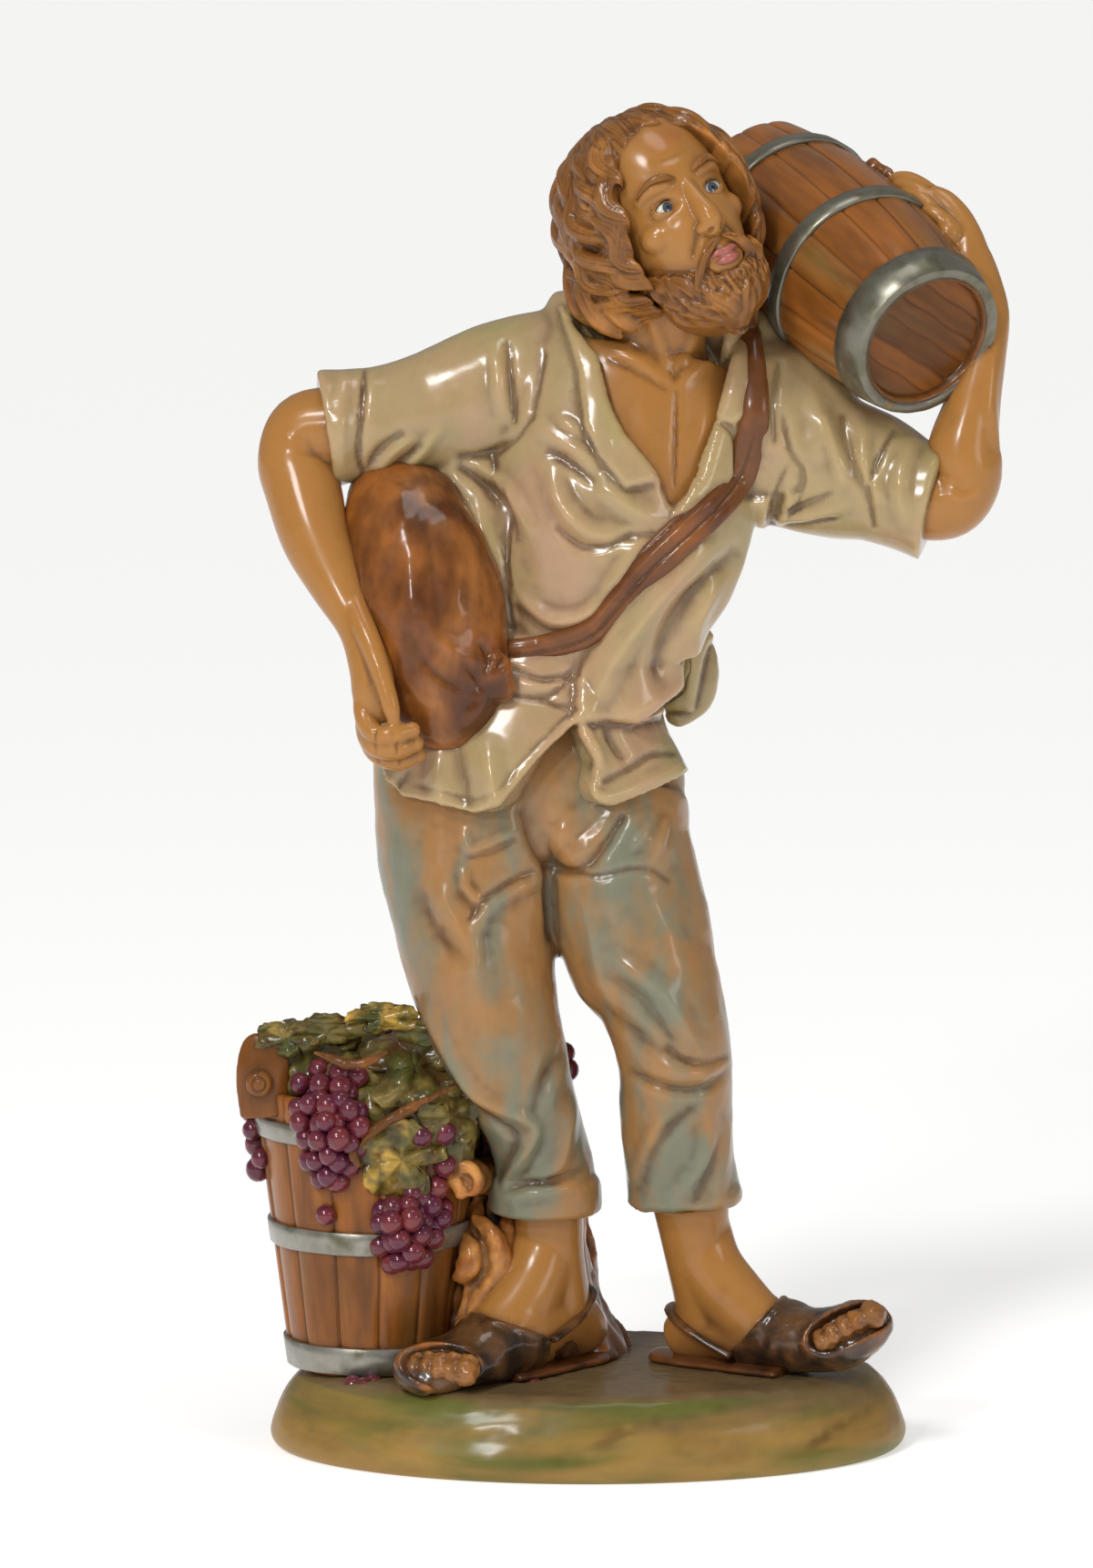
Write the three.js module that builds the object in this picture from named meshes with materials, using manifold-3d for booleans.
// A cast and painted nativity figure: a grape picker with a small barrel on his left shoulder and a wineskin
// under his right arm, on an oval plinth with a tub of grapes and a tree stump. The figure is one casting.
// Millimetres, +Z up, the viewer on the -Y side, origin in the middle of the plinth's underside.
import * as THREE from 'three';
import { mergeVertices } from 'three/addons/utils/BufferGeometryUtils.js';
import Module from 'manifold-3d';

const wasm = await Module();
wasm.setup();

// Driving dimensions
const STATURE = 282; // the man, from the plinth's top to the crown of his hair
const PLINTH_LENGTH = 142;
const PLINTH_DEPTH = 88;
const PLINTH_HEIGHT = 18;
const PLINTH_SLOPE = 7; // how far the plinth's top edge stands in from its widest line
const BARREL_LENGTH = 74;
const BARREL_BELLY_RADIUS = 21.2;
const BARREL_END_RADIUS = 16.8;
const BARREL_RECESS = 2.4; // how deep the barrel's round heads lie inside its rims
const BARREL_RIM = 2.2; // thickness of the stave ends round a head
const BARREL_BAND_WIDTH = 7; // the wide hoop round the front head
const BARREL_HOOP_WIDTH = 4.2;
const BARREL_HOOPS = [0.8, 0.4]; // places of the narrow hoops: shares of the length from the front head
const BARREL_STAVES = 9;
const TUB_FOOT_RADIUS = 18;
const TUB_MOUTH_RADIUS = 26;
const TUB_HEIGHT = 63;
const TUB_HOOP_WIDTH = 5.4;
const TUB_STAVES = 8;
const HOOP_THICKNESS = 0.8;
const STAVE_GROOVE = 0.55; // depth of the groove between two staves
const GRAPE_RADIUS = 2.6;
const SINK = 0.7; // how deep a foot, a tub or a stump is let into the plinth

// The man's own proportions are thousandths of his stature, measured from the middle of the plinth's top.
const PART = STATURE / 1000;
const FRONT = new THREE.Vector3(0, -1, 0);
const UP = new THREE.Vector3(0, 0, 1);
const at = (x, y, z) => new THREE.Vector3(x * PART, y * PART, z * PART + PLINTH_HEIGHT);
const own = (x, y, z) => new THREE.Vector3(x * PART, y * PART, z * PART);

// Solids and booleans
function solid(geometry) {
  const bare = new THREE.BufferGeometry();
  bare.setAttribute('position', geometry.getAttribute('position').clone());
  bare.setIndex(geometry.getIndex());
  const merged = mergeVertices(bare, 1e-4);
  return new wasm.Manifold(new wasm.Mesh({
    numProp: 3,
    vertProperties: merged.attributes.position.array,
    triVerts: new Uint32Array(merged.index.array),
  }));
}

const join = (...solids) => wasm.Manifold.union(solids.flat(Infinity));

function geometryOf(manifold) {
  const made = manifold.getMesh();
  const geometry = new THREE.BufferGeometry();
  geometry.setAttribute('position', new THREE.BufferAttribute(new Float32Array(made.vertProperties), 3));
  geometry.setIndex(new THREE.BufferAttribute(new Uint32Array(made.triVerts), 1));
  return geometry;
}

// A limb is a cylinder laid along a smooth line through its stations: [x, y, z, half width, half depth].
// Depth is measured towards `front`, and width across it. `swell` adds a share of the size at an angle and
// a place along the limb.
function limb(stations, options = {}) {
  const { sides = 10, steps = 2 * stations.length, front = FRONT, swell, place = at } = options;
  const line = new THREE.CatmullRomCurve3(stations.map(([x, y, z]) => place(x, y, z)));
  const size = new THREE.CatmullRomCurve3(
    stations.map(([, , , wide, deep = wide]) => new THREE.Vector3(wide * PART, deep * PART, 0)),
  );
  const shape = new THREE.CylinderGeometry(1, 1, 1, sides, steps);
  const vertices = shape.getAttribute('position');
  const vertex = new THREE.Vector3();
  for (let i = 0; i < vertices.count; i += 1) {
    vertex.fromBufferAttribute(vertices, i);
    const share = THREE.MathUtils.clamp(vertex.y + 0.5, 0, 1);
    const along = line.getTangent(share);
    const deep = front.clone().addScaledVector(along, -front.dot(along)).normalize();
    const wide = new THREE.Vector3().crossVectors(along, deep);
    const half = size.getPoint(share);
    const more = 1 + (swell ? swell(Math.atan2(vertex.z, vertex.x), share) : 0);
    const point = line.getPoint(share)
      .addScaledVector(wide, vertex.x * half.x * more)
      .addScaledVector(deep, vertex.z * half.y * more);
    vertices.setXYZ(i, point.x, point.y, point.z);
  }
  return solid(shape);
}

// A spindle is a limb that fades out at both ends, such as a fold, a lock of hair or a root.
function spindle(points, wide, deep = wide, options = {}) {
  const last = points.length - 1;
  const stations = points.map(([x, y, z], i) => {
    const full = Math.max(0.22, Math.sin(Math.PI * (0.12 + 0.76 * (i / last))) ** 0.7);
    return [x, y, z, wide * full, deep * full];
  });
  return limb(stations, { sides: 4, steps: points.length, ...options });
}

// An oval ball. `swell` adds a share of its size at an azimuth round +Z and an elevation.
function ball(centre, radii, { detail = [8, 6], swell } = {}) {
  const shape = new THREE.SphereGeometry(1, ...detail).rotateX(Math.PI / 2);
  const vertices = shape.getAttribute('position');
  for (let i = 0; swell && i < vertices.count; i += 1) {
    const [x, y, z] = [vertices.getX(i), vertices.getY(i), vertices.getZ(i)];
    const size = 1 + swell(Math.atan2(x, -y), Math.asin(THREE.MathUtils.clamp(z, -1, 1)));
    vertices.setXYZ(i, x * size, y * size, z * size);
  }
  shape.scale(...radii.map((r) => r * PART)).translate(centre.x, centre.y, centre.z);
  return solid(shape);
}

// Drapery: each fold is a soft ridge on a limb, [degrees round it, share along it, slope in degrees, length,
// height]. The front is at 90 degrees, and the limb's whole length counts as LENGTH_IN_TURN radians.
const LENGTH_IN_TURN = 4;
const FOLD_WIDTH = 0.42;
const drape = (folds) => (angle, share) => folds.reduce((sum, [round, along, slope, length, height]) => {
  const turned = angle - THREE.MathUtils.degToRad(round);
  const across = Math.atan2(Math.sin(turned), Math.cos(turned));
  const up = LENGTH_IN_TURN * (share - along);
  const tilt = THREE.MathUtils.degToRad(slope);
  const onward = across * Math.cos(tilt) + up * Math.sin(tilt);
  const off = up * Math.cos(tilt) - across * Math.sin(tilt);
  return sum + height * Math.exp(-((onward / length) ** 2) - (off / FOLD_WIDTH) ** 2);
}, 0);

// The front surface of a solid, found by looking at it along +Y. It gives the depth at a place, in parts.
function surfaceOf(manifold, lift = PLINTH_HEIGHT) {
  const material = new THREE.MeshBasicMaterial({ side: THREE.DoubleSide });
  const target = new THREE.Mesh(geometryOf(manifold), material);
  const ray = new THREE.Raycaster();
  return (x, z, fallback = 0) => {
    ray.set(new THREE.Vector3(x * PART, -2 * STATURE, z * PART + lift), new THREE.Vector3(0, 1, 0));
    const [hit] = ray.intersectObject(target);
    return hit ? hit.point.y / PART : fallback;
  };
}

// A fold or seam that lies on a surface: [x, z] points, sunk by `sink` parts.
const onSurface = (surface, points, sink = 0) => points.map(([x, z]) => [x, surface(x, z) + sink, z]);

// The plinth: an oval block whose side leans in to a soft top edge
function plinth() {
  const inset = (2 * PLINTH_SLOPE) / PLINTH_LENGTH;
  const profile = [
    [0, 0], [0.985, 0], [1, 0.22 * PLINTH_HEIGHT],
    [1 - 0.4 * inset, 0.62 * PLINTH_HEIGHT], [1 - inset, 0.93 * PLINTH_HEIGHT],
    [1 - 1.6 * inset, PLINTH_HEIGHT], [0, PLINTH_HEIGHT],
  ].map(([r, z]) => new THREE.Vector2(r, z));
  const shape = new THREE.LatheGeometry(profile, 24);
  shape.rotateX(Math.PI / 2).scale(PLINTH_LENGTH / 2, PLINTH_DEPTH / 2, 1);
  return solid(shape);
}

// Trousers
const RIGHT_LEG = [
  [-88, 0, 474, 82, 62], [-95, -10, 410, 71, 62], [-88, -24, 343, 60, 57], [-75, -34, 294, 52, 52],
  [-61, -38, 244, 44, 46], [-44, -28, 196, 38, 41], [-35, -20, 154, 37, 39], [-34, -18, 122, 40, 41],
];
const LEFT_LEG = [
  [34, 2, 456, 46, 60], [31, -12, 407, 60, 62], [40, -26, 336, 64, 58], [54, -36, 295, 56, 55],
  [68, -42, 252, 47, 50], [68, -34, 208, 45, 44], [73, -24, 162, 44, 42], [77, -20, 129, 45, 42],
];
const RIGHT_LEG_FOLDS = [
  [130, 0.14, 35, 0.9, 0.16], [60, 0.4, -30, 0.8, 0.1], [40, 0.54, 40, 1.1, 0.2],
  [110, 0.7, 35, 0.9, 0.2], [70, 0.86, 20, 1.2, 0.16], [250, 0.5, 30, 1, 0.14],
  [230, 0.74, -30, 1, 0.14], [70, 0.63, 40, 0.9, -0.16],
];
const LEFT_LEG_FOLDS = [
  [50, 0.16, -30, 0.9, 0.14], [100, 0.34, 40, 1, 0.14], [70, 0.5, -35, 1, 0.2],
  [110, 0.6, -40, 0.9, -0.16], [60, 0.78, 40, 1.1, 0.2], [120, 0.9, 30, 0.9, 0.16],
  [260, 0.48, -30, 1, 0.14], [280, 0.8, 30, 1, 0.14],
];
// The hips' rounded masses: centre, radii and how finely each is faceted
const HIPS = [
  [[-30, 0, 462], [106, 66, 74], [9, 5]],
  [[-14, -10, 396], [42, 42, 60], [7, 5]],
  [[6, -32, 440], [58, 36, 40], [8, 5]],
];
const TURN_UP = [[-34, -18, 150, 41, 43], [-34, -18, 118, 45, 46]];

function trousers() {
  const legs = [
    limb(RIGHT_LEG, { sides: 10, steps: 10, swell: drape(RIGHT_LEG_FOLDS) }),
    limb(LEFT_LEG, { sides: 10, steps: 10, swell: drape(LEFT_LEG_FOLDS) }),
  ];
  const hips = HIPS.map(([centre, radii, detail]) => ball(at(...centre), radii, { detail }));
  const turnUp = limb(TURN_UP, { sides: 10, steps: 1 });
  return [legs, hips, turnUp];
}

// Shirt
const TORSO = [
  [36, -12, 515, 46, 54], [22, -10, 536, 60, 56], [9, -8, 560, 71, 57], [12, -10, 596, 80, 58],
  [20, -12, 640, 96, 62], [27, -8, 692, 103, 65], [32, -4, 749, 102, 60], [44, 4, 796, 88, 50],
  [52, 12, 832, 80, 38], [54, 14, 850, 52, 24],
];
const CHEST = [
  [22, -4, 640, 80, 58], [30, -4, 700, 88, 58], [38, -2, 752, 90, 52], [48, 4, 800, 66, 42],
];
const RIGHT_SLEEVE = [
  [-4, 8, 778, 58, 43], [-58, 6, 769, 58, 42], [-104, 2, 758, 52, 39], [-148, -3, 749, 44, 36],
  [-184, -6, 744, 44, 36], [-206, -8, 741, 47, 39],
];
const LEFT_SLEEVE = [
  [96, 6, 764, 62, 50], [142, 2, 738, 76, 50], [184, -6, 714, 58, 45], [222, -15, 703, 51, 41],
  [249, -23, 691, 44, 38], [268, -27, 686, 47, 41],
];
const SKIRT = [
  [-14, -6, 566, 72, 54], [-28, -8, 522, 100, 64], [-35, -8, 478, 121, 72], [-38, -8, 430, 124, 76],
];
const NECK_OPENING = [
  [-36, 880], [-24, 836], [-4, 760], [30, 712], [62, 690], [84, 722], [112, 790], [126, 880],
];
const HEM = [
  [-174, 450], [-150, 443], [-112, 437], [-82, 439], [-60, 456], [-40, 484], [-20, 504], [-4, 514],
  [2, 488], [6, 462], [36, 458], [62, 466], [84, 474], [110, 480],
];
const TORSO_FOLDS = [
  [120, 0.66, -35, 0.8, 0.14], [110, 0.53, -30, 0.9, 0.14], [130, 0.4, -35, 0.8, 0.12],
  [75, 0.6, 40, 0.6, -0.08], [60, 0.34, 70, 0.7, 0.14], [95, 0.24, 60, 0.5, 0.1],
  [160, 0.3, -40, 0.8, 0.1], [30, 0.4, 50, 0.8, 0.09], [270, 0.5, 60, 0.9, 0.12],
  [240, 0.3, 40, 0.9, 0.12], [300, 0.34, -40, 0.9, 0.12],
];
const RIGHT_SLEEVE_FOLDS = [
  [100, 0.3, 80, 0.9, 0.16], [70, 0.48, 70, 0.9, 0.16], [110, 0.66, 80, 0.8, 0.14],
  [260, 0.5, 80, 1, 0.14],
];
const LEFT_SLEEVE_FOLDS = [
  [80, 0.36, 70, 0.9, 0.16], [110, 0.54, 80, 0.9, 0.16], [70, 0.74, 70, 0.9, 0.14],
  [270, 0.5, 80, 1, 0.14],
];
const LEFT_LAPEL = [[-24, 812], [-12, 772], [4, 738], [30, 708], [60, 690]];
const RIGHT_LAPEL = [[118, 792], [112, 762], [102, 736], [84, 708], [62, 690]];
const SIDE_DRAPE = [[60, 16, 596], [76, 26, 566], [80, 26, 534], [66, 18, 506]];
const SHOULDER = [124, 14, 806];
const SHOULDER_RADII = [36, 32, 32];
const NECK_CUT = [-200, -30]; // where the cut at the neck starts and ends, from front to back
const HEM_CUT = [-200, 200];

// A prism along Y whose front outline is a list of [x, z] parts, for cuts that are seen from the front
function frontPrism(outline, fromY, toY) {
  const corners = outline.map(([x, z]) => new THREE.Vector2(x * PART, z * PART + PLINTH_HEIGHT));
  const shape = new THREE.Shape(corners);
  const prism = new THREE.ExtrudeGeometry(shape, { depth: (toY - fromY) * PART, bevelEnabled: false });
  return solid(prism.rotateX(Math.PI / 2).translate(0, toY * PART, 0));
}

function shirt() {
  const flare = (angle, share) => 0.05 * share * Math.sin(5 * angle);
  const body = join(
    limb(TORSO, { sides: 12, steps: 10, swell: drape(TORSO_FOLDS) }),
    limb(RIGHT_SLEEVE, { sides: 8, steps: 7, swell: drape(RIGHT_SLEEVE_FOLDS) }),
    limb(LEFT_SLEEVE, { sides: 8, steps: 7, swell: drape(LEFT_SLEEVE_FOLDS) }),
  );
  const surface = surfaceOf(body);
  const lapels = [LEFT_LAPEL, RIGHT_LAPEL].map(
    (points) => spindle(onSurface(surface, points), 13, 6, { steps: 3 }),
  );
  const [leftEnd, rightEnd] = [HEM[0], HEM.at(-1)];
  const below = [[-300, 380], [-300, leftEnd[1]], ...HEM, [300, rightEnd[1]], [300, 380]];
  const skirt = limb(SKIRT, { sides: 12, steps: 3, swell: flare });
  const tails = [
    skirt.subtract(frontPrism(below, ...HEM_CUT)),
    spindle(SIDE_DRAPE, 24, 16, { steps: 3 }),
  ];
  const opened = body.subtract(frontPrism(NECK_OPENING, ...NECK_CUT));
  const shoulder = ball(at(...SHOULDER), SHOULDER_RADII, { detail: [7, 5] });
  return join(opened, limb(CHEST, { sides: 8, steps: 3 }), shoulder, lapels, tails);
}

// Wineskin, with its strap over the chest
const WINESKIN = [
  [-130, 6, 750, 28, 16], [-130, -12, 722, 58, 33], [-129, -34, 678, 66, 44], [-125, -46, 628, 65, 49],
  [-118, -54, 572, 59, 46], [-110, -56, 526, 44, 37], [-104, -56, 500, 14, 14],
];
const STRAP = [[-72, 574], [-30, 582], [8, 594], [40, 626], [76, 672], [104, 714], [121, 752], [126, 792]];
const KNOT = [-72, -72, 568];
const KNOT_RADII = [18, 15, 16];
const STRAP_END = [[-72, -80, 570], [-88, -84, 548], [-98, -82, 528]];

function wineskin(clothes) {
  const strap = onSurface(surfaceOf(clothes), STRAP, -1);
  return [
    limb(WINESKIN, { sides: 10, steps: 6 }),
    spindle(strap, 11, 6, { steps: 7 }),
    ball(at(...KNOT), KNOT_RADII, { detail: [6, 4] }),
    spindle(STRAP_END, 10, 8, { steps: 2 }),
  ];
}

// Bare arms and hands
const RIGHT_FOREARM = [
  [-196, -6, 741, 34, 32], [-220, -4, 738, 31, 30], [-229, -8, 716, 29, 28], [-222, -18, 694, 30, 28],
  [-212, -38, 659, 27, 26], [-195, -58, 625, 22, 21], [-178, -76, 592, 16, 15], [-168, -88, 562, 17, 15],
  [-164, -94, 526, 19, 15], [-160, -94, 502, 14, 12],
];
const RIGHT_FINGERS = [
  [[-164, -98, 582, 9], [-156, -110, 552, 8], [-153, -112, 526, 7]],
  [[-168, -100, 522, 9], [-153, -112, 514, 9], [-137, -108, 512, 7]],
  [[-166, -98, 508, 9], [-151, -108, 498, 9], [-135, -102, 498, 7]],
];
const LEFT_FOREARM = [
  [256, -25, 689, 34, 32], [283, -28, 688, 30, 31], [291, -31, 706, 29, 29], [290, -32, 728, 28, 27],
  [297, -30, 762, 22, 23], [305, -24, 798, 18, 19], [310, -14, 832, 15, 16], [306, 0, 862, 15, 16],
];

function rightArm() {
  return [
    limb(RIGHT_FOREARM, { sides: 7, steps: 9 }),
    RIGHT_FINGERS.map((finger) => limb(finger, { sides: 4, steps: 2 })),
  ];
}

const HAND_BACK = new THREE.Vector3(1, 0, 0.6);

// The left hand lies over the barrel's upper right side, so it ends on the barrel's own surface.
function leftArm() {
  const grip = (along, degrees, lift) => {
    const p = onBarrel(along, degrees, lift);
    return [p.x / PART, p.y / PART, (p.z - PLINTH_HEIGHT) / PART];
  };
  const palm = [LEFT_FOREARM.at(-1), [...grip(0.36, 18, 8), 20, 12], [...grip(0.43, 42, 5), 24, 9]];
  const fingers = [0, 1, 2, 3].map((i) => limb([
    [...grip(0.35 + 0.058 * i, 36, 5), 9],
    [...grip(0.4 + 0.058 * i, 54, 6), 9],
    [...grip(0.45 + 0.058 * i, 72, 2), 7],
  ], { sides: 4, steps: 2, front: UP }));
  return [
    limb(LEFT_FOREARM, { sides: 7, steps: 7 }),
    limb(palm, { sides: 7, steps: 2, front: HAND_BACK }),
    fingers,
  ];
}

// Head: built upright about its own centre with the face towards -Y, then turned into the pose
const HEAD_CENTRE = [58, -44, 902];
const HEAD_TURN = new THREE.Euler(-0.21, -0.4, 0.46, 'YZX');
const FACE = [
  [0, -2, 52, 50, 52], [0, -10, 26, 53, 56], [0, -12, 2, 50, 55], [0, -18, -26, 46, 52],
  [0, -22, -54, 37, 45], [0, -28, -78, 22, 28],
];
const NECK = [[48, 8, 780, 44, 36], [54, -8, 826, 38, 36], [60, -24, 862, 38, 38]];
const NOSE = [[0, -58, 10, 8, 8], [0, -70, -8, 9, 9], [0, -76, -26, 14, 12], [0, -64, -36, 12, 10]];
const BROW = [[38, 14], [22, 20], [6, 17]];
const MOUTH = [[-15, -50], [0, -52], [15, -50]];

// A point on an oval cap over the skull, by the azimuth from the face and the elevation
const skullPoint = (azimuth, elevation, reach) => [
  62 * reach * Math.sin(azimuth) * Math.cos(elevation),
  8 - 72 * reach * Math.cos(azimuth) * Math.cos(elevation),
  12 + 70 * reach * Math.sin(elevation),
];

// Rows of locks: how many, the azimuths of the first and the last, and the row's own sizes
const LOCK_ROWS = [
  [4, 62, 298, { high: 24, low: -40, wide: 18, sway: 0.3, reach: 1.02 }],
  [3, 160, 286, { high: -20, low: -66, wide: 22, sway: 0.2, reach: 1.16 }],
  [3, -34, 26, { high: 80, low: 52, wide: 13, sway: 0.2, reach: 0.97 }],
];

// One row of locks round the head. Each falls from a high to a low elevation with a sway to one side.
function locks(count, from, to, { high, low, wide, sway, reach = 1 }) {
  return Array.from({ length: count }, (_, i) => {
    const azimuth = THREE.MathUtils.degToRad(THREE.MathUtils.lerp(from, to, i / (count - 1)));
    const points = [0, 1, 2, 3].map((step) => {
      const share = step / 3;
      const elevation = THREE.MathUtils.degToRad(THREE.MathUtils.lerp(high, low, share));
      const turn = azimuth + sway * Math.sin(2.6 * share + 1.9 * i);
      return skullPoint(turn, elevation, reach + 0.05 * Math.sin(Math.PI * share) + 0.04 * (i % 2));
    });
    return spindle(points, wide, 0.7 * wide, { place: own, steps: 3 });
  });
}

function head() {
  const skull = limb(FACE, { sides: 10, steps: 5, place: own });
  const sockets = [-21, 21].map((x) => ball(own(x, -67, 1), [13, 8, 8], { detail: [5, 3] }));
  const surface = surfaceOf(skull, 0);
  const ridge = { place: own, steps: 2 };
  const mirrored = (points, side) => points.map(([x, z]) => [x * side, z]);
  const features = [
    [-21, 21].map((x) => ball(own(x, -52, 1), [11, 10, 8], { detail: [6, 3] })),
    limb(NOSE, { sides: 5, steps: 3, place: own }),
    [-1, 1].map((side) => spindle(onSurface(surface, mirrored(BROW, side), 1), 6, 6, ridge)),
    spindle(onSurface(surface, MOUTH), 6, 5, ridge),
  ];
  const waves = (azimuth, elevation) => 0.06 * Math.sin(6 * azimuth + 2.5 * elevation);
  const cap = ball(own(-4, 16, 22), [74, 84, 77], { detail: [12, 8], swell: waves })
    .subtract(ball(own(0, -66, -8), [50, 62, 68], { detail: [8, 5] }));
  const hair = [
    cap,
    LOCK_ROWS.map(([count, from, to, row]) => locks(count, from, to, row)),
  ];
  const curls = (azimuth, elevation) => 0.09 * Math.sin(5 * azimuth) * Math.cos(elevation);
  const beard = [
    ball(own(0, -30, -66), [44, 36, 30], { detail: [10, 5], swell: curls }),
    [-1, 0.1, 1].map((i) => spindle([
      [18 * i, -56 + 6 * i * i, -62], [14 * i + 2, -60 + 6 * i * i, -82], [10 * i - 2, -50 + 6 * i * i, -100],
    ], 15, 12, { place: own, steps: 2 })),
  ];
  const turned = new THREE.Matrix4().makeRotationFromEuler(HEAD_TURN).setPosition(at(...HEAD_CENTRE));
  const upright = join(skull.subtract(join(sockets)), features, hair, beard);
  const neck = limb(NECK, { sides: 9, steps: 3 });
  return [solid(geometryOf(upright).applyMatrix4(turned)), neck];
}

// Sandalled feet
const RIGHT_FOOT = [
  [10, 14, 20, 16, 12], [-2, 6, 26, 20, 22], [-28, -8, 32, 23, 30], [-56, -38, 24, 26, 24],
  [-92, -74, 20, 29, 17], [-128, -98, 18, 24, 13], [-144, -107, 15, 12, 7],
];
const LEFT_FOOT = [
  [70, 6, 14, 16, 14], [84, 2, 22, 20, 22], [108, -8, 30, 22, 28], [142, -22, 30, 25, 24],
  [178, -40, 32, 27, 18], [208, -52, 46, 23, 14], [226, -58, 60, 12, 8],
];
const RIGHT_SHIN = [
  [-33, -18, 132, 28, 27], [-32, -14, 88, 25, 26], [-24, -6, 46, 25, 29], [-16, -2, 24, 24, 28],
];
const LEFT_SHIN = [
  [80, -20, 136, 31, 28], [85, -12, 94, 26, 26], [92, -2, 52, 23, 27], [96, 0, 26, 24, 28],
];
const SHOE = { sides: 6, steps: 4, front: UP };

function sandalledFoot(foot, shin, across) {
  const sole = foot.map(([x, y, z, wide, deep]) => [x, y, z - deep - 2, wide + 5, 6]);
  const upper = foot.slice(2, 5).map(([x, y, z, wide, deep]) => [x, y, z + 1, wide + 4, deep + 4]);
  const [x, y, z, wide] = foot[5];
  const toes = [-1.8, -0.6, 0.6, 1.8].map((i) => {
    const reach = 0.4 * i * wide;
    return ball(at(x + across[0] * reach, y + across[1] * reach, z + 5), [8, 8, 9], { detail: [4, 3] });
  });
  return [
    limb(shin, { sides: 7, steps: 3 }),
    limb(foot, SHOE),
    limb(sole, { ...SHOE, sides: 5 }),
    limb(upper, { ...SHOE, steps: 2 }),
    toes,
  ];
}

const feet = () => [
  sandalledFoot(RIGHT_FOOT, RIGHT_SHIN, [0.55, -0.8]),
  sandalledFoot(LEFT_FOOT, LEFT_SHIN, [0.3, -0.9]),
];

// A turned body of staves: its wooden rings dip between the staves, and its hoops are plain rings.
function cooperage(profile, staves) {
  const shape = new THREE.LatheGeometry(profile.map(([r, z]) => new THREE.Vector2(r, z)), 2 * staves);
  const vertices = shape.getAttribute('position');
  const rows = profile.length;
  for (let i = 0; i < vertices.count; i += 1) {
    const [radius, , wood] = profile[i % rows];
    const between = Math.floor(i / rows) % 2 === 0;
    if (wood && between) {
      const share = 1 - STAVE_GROOVE / radius;
      vertices.setXYZ(i, vertices.getX(i) * share, vertices.getY(i), vertices.getZ(i) * share);
    }
  }
  return shape.rotateX(Math.PI / 2);
}

// A hoop's four profile points, from one edge to the other, on a wall whose radius `wall` gives
const hoop = (wall, middle, width) => [-1, 1].flatMap((side) => {
  const z = middle + (side * width) / 2;
  const foot = [wall(z), z, true];
  const crest = [wall(z) + HOOP_THICKNESS, z, false];
  return side < 0 ? [foot, crest] : [crest, foot];
});

// The barrel lies on the left shoulder and passes behind the head.
const BARREL_PLACE = [196, 26, 868];
const BARREL_CENTRE = at(...BARREL_PLACE);
const BARREL_AXIS = new THREE.Vector3(0.48, -0.77, -0.42).normalize();
const bulge = (z) => BARREL_BELLY_RADIUS
  - (BARREL_BELLY_RADIUS - BARREL_END_RADIUS) * ((2 * z) / BARREL_LENGTH) ** 2;

// A point near the barrel: a share of its length back from the front head, degrees from its right side up
// over the top, and a lift off the staves in parts
function onBarrel(along, degrees, lift) {
  const side = new THREE.Vector3().crossVectors(UP, BARREL_AXIS).normalize();
  const over = new THREE.Vector3().crossVectors(BARREL_AXIS, side).normalize();
  const turn = THREE.MathUtils.degToRad(degrees);
  const back = (0.5 - along) * BARREL_LENGTH;
  const reach = bulge(back) + lift * PART;
  return BARREL_CENTRE.clone()
    .addScaledVector(BARREL_AXIS, back)
    .addScaledVector(side, Math.cos(turn) * reach)
    .addScaledVector(over, Math.sin(turn) * reach);
}

function barrel() {
  const end = BARREL_LENGTH / 2;
  const inner = BARREL_END_RADIUS - BARREL_RIM;
  const chime = BARREL_END_RADIUS + HOOP_THICKNESS;
  const band = end - BARREL_BAND_WIDTH;
  const outside = [
    [0, -end + BARREL_RECESS, false], [inner, -end + BARREL_RECESS, false], [inner, -end, false],
    [BARREL_END_RADIUS, -end, true],
    ...BARREL_HOOPS.flatMap((share) => hoop(bulge, (0.5 - share) * BARREL_LENGTH, BARREL_HOOP_WIDTH)),
    [bulge(band), band, true], [bulge(band) + HOOP_THICKNESS, band, false], [chime, end, false],
    [inner, end, false], [inner, end - BARREL_RECESS, false], [0, end - BARREL_RECESS, false],
  ];
  const shape = cooperage(outside, BARREL_STAVES);
  shape.applyQuaternion(new THREE.Quaternion().setFromUnitVectors(UP, BARREL_AXIS));
  shape.translate(BARREL_CENTRE.x, BARREL_CENTRE.y, BARREL_CENTRE.z);
  return [solid(shape), ball(onBarrel(0.62, 66, 1), [11, 11, 8], { detail: [7, 4] })];
}

// The tub stands on the plinth at the man's right, heaped with grapes, leaves and a vine cane.
const TUB_FOOT = at(-172, 6, 0);
const tubWall = (z) => THREE.MathUtils.lerp(TUB_FOOT_RADIUS, TUB_MOUTH_RADIUS, z / TUB_HEIGHT);
const BERRY_PITCH = (2.05 * GRAPE_RADIUS) / PART;
const BUNCHES = [
  { top: [-200, 232], bottom: [-194, 152], rows: 5 },
  { top: [-128, 196], bottom: [-136, 88], rows: 5 },
];
const WIDEST_ROW = 3.4; // berries in a bunch's top row; the last row has one
const HEAP_PLACE = [-168, 6];
const HEAP_RADII = [86, 84, 42];
const LOOSE_BERRIES = [[-203, 146], [-258, 194], [-258, 160]];
const LEAVES = [
  [-150, 196, 42, 0.2], [-146, 254, 44, 1.3], [-205, 262, 38, 2.4], [-106, 262, 38, -0.6],
];

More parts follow.
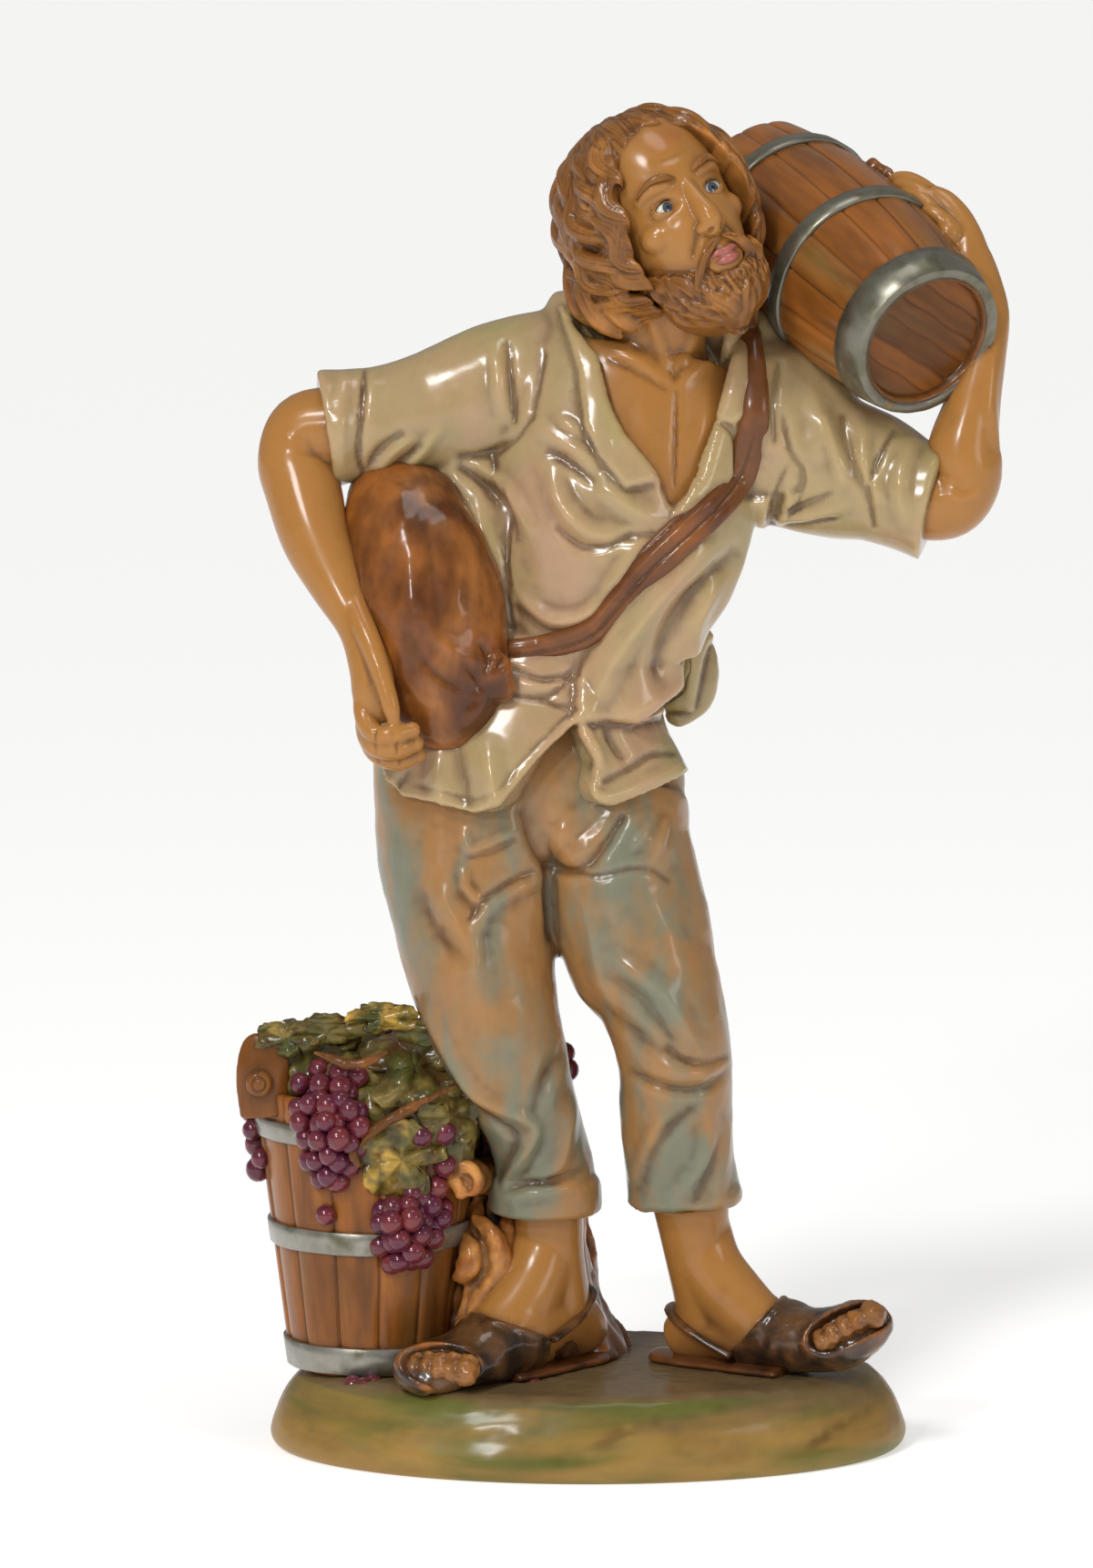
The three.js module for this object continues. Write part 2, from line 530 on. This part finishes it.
const LUG = [[-246, -44, 196, 17, 5], [-252, -46, 240, 18, 6], [-250, -44, 268, 13, 6]];
const PEG = [-252, -54, 238];
const PEG_RADII = [11, 9, 11];
const CANE = [[-182, -90, 190], [-158, -90, 216], [-128, -84, 232], [-98, -64, 246]];

function vineLeaf(size) {
  const points = 10;
  const outline = Array.from({ length: points }, (_, i) => {
    const turn = (2 * Math.PI * i) / points;
    const reach = size * PART * (i % 2 === 0 ? 1 : 0.68);
    return new THREE.Vector2(reach * Math.cos(turn), reach * Math.sin(turn));
  });
  const thickness = 0.13 * size * PART;
  return new THREE.ExtrudeGeometry(new THREE.Shape(outline), { depth: thickness, bevelEnabled: false });
}

function berry(centre) {
  return solid(new THREE.IcosahedronGeometry(GRAPE_RADIUS, 0).translate(centre.x, centre.y, centre.z));
}

// A bunch narrows downwards, in rows of berries against the tub's wall.
function bunch({ top, bottom, rows }, surface) {
  return Array.from({ length: rows }, (_, row) => {
    const share = row / (rows - 1);
    const count = Math.round(THREE.MathUtils.lerp(WIDEST_ROW, 1, share));
    return Array.from({ length: count }, (__, i) => {
      const across = (i - (count - 1) / 2 + 0.25 * (row % 2)) * BERRY_PITCH;
      const x = THREE.MathUtils.lerp(top[0], bottom[0], share) + across;
      const z = THREE.MathUtils.lerp(top[1], bottom[1], share);
      return berry(at(x, surface(x, z, -80) - 2, z));
    });
  });
}

function tub() {
  const mouth = tubWall(TUB_HEIGHT);
  const profile = [
    [0, -SINK, false], [TUB_FOOT_RADIUS + HOOP_THICKNESS, -SINK, false],
    [tubWall(TUB_HOOP_WIDTH) + HOOP_THICKNESS, TUB_HOOP_WIDTH, false],
    [tubWall(TUB_HOOP_WIDTH), TUB_HOOP_WIDTH, true],
    ...hoop(tubWall, 0.48 * TUB_HEIGHT, TUB_HOOP_WIDTH),
    ...hoop(tubWall, 0.9 * TUB_HEIGHT, TUB_HOOP_WIDTH),
    [mouth, TUB_HEIGHT, true], [0, TUB_HEIGHT, false],
  ];
  const vessel = cooperage(profile, TUB_STAVES).translate(TUB_FOOT.x, TUB_FOOT.y, TUB_FOOT.z);
  const heap = ball(at(...HEAP_PLACE, TUB_HEIGHT / PART), HEAP_RADII, { detail: [8, 4] });
  const carried = join(solid(vessel), heap);
  const surface = surfaceOf(carried);
  const lug = limb(LUG, { sides: 6, steps: 2 });
  const peg = ball(at(...PEG), PEG_RADII, { detail: [7, 4] });
  const berries = [
    BUNCHES.map((shape) => bunch(shape, surface)),
    LOOSE_BERRIES.map(([x, z]) => berry(at(x, surface(x, z, -10), z))),
  ];
  const leaves = LEAVES.map(([x, z, span, turn]) => {
    const lean = THREE.MathUtils.clamp((z - 190) / 100, 0, 1.1);
    const leaf = vineLeaf(span).rotateZ(turn).rotateX(Math.PI / 2 - lean);
    const place = at(x, surface(x, z, -40) + 3, z);
    return solid(leaf.translate(place.x, place.y, place.z));
  });
  const cane = spindle(CANE, 7, 7, { steps: 3 });
  return [carried, lug, peg, berries, leaves, cane];
}

// The stump behind the right leg holds the figure up. It spreads into the plinth as roots.
const STUMP = [
  [-48, 62, 262, 34, 30], [-46, 58, 226, 46, 40], [-48, 52, 160, 54, 46], [-50, 50, 96, 58, 48],
  [-44, 50, 44, 66, 52], [-34, 50, 10, 90, 62], [-30, 50, -4, 100, 66],
];
const CUT_BRANCH = [[-70, 20, 150, 16, 16], [-86, -2, 154, 15, 15], [-94, -16, 156, 13, 13]];
const RIDGES = [
  [[-84, 10, 136], [-90, 4, 96], [-84, 2, 56], [-92, -4, 20]], [[-62, 6, 110], [-66, -2, 70], [-74, -10, 30]],
];

function stump() {
  const bark = (angle, share) => 0.06 * Math.sin(5 * angle + 3 * share);
  return [
    limb(STUMP, { sides: 10, steps: 5, swell: bark }),
    limb(CUT_BRANCH, { sides: 8, steps: 2, front: UP }),
    RIDGES.map((points) => spindle(points, 13, 13, { steps: 3 })),
  ];
}

const clothes = join(trousers(), shirt());
const whole = join(
  plinth(), stump(), clothes, wineskin(clothes), rightArm(), leftArm(), head(), feet(), barrel(),
  tub(),
);
// The casting is solid: pockets sealed between the joined masses are filled, so only the outer skin is kept.
const [casting] = whole.decompose().sort((one, other) => other.volume() - one.volume());
const geometry = geometryOf(casting);
geometry.computeVertexNormals();

const paintedResin = new THREE.MeshStandardMaterial({
  color: 0xb98a55, roughness: 0.4, metalness: 0, flatShading: true,
});
const grapePicker = new THREE.Mesh(geometry, paintedResin);
grapePicker.name = 'grape_picker';

const figure = new THREE.Group();
figure.add(grapePicker);

export default figure;
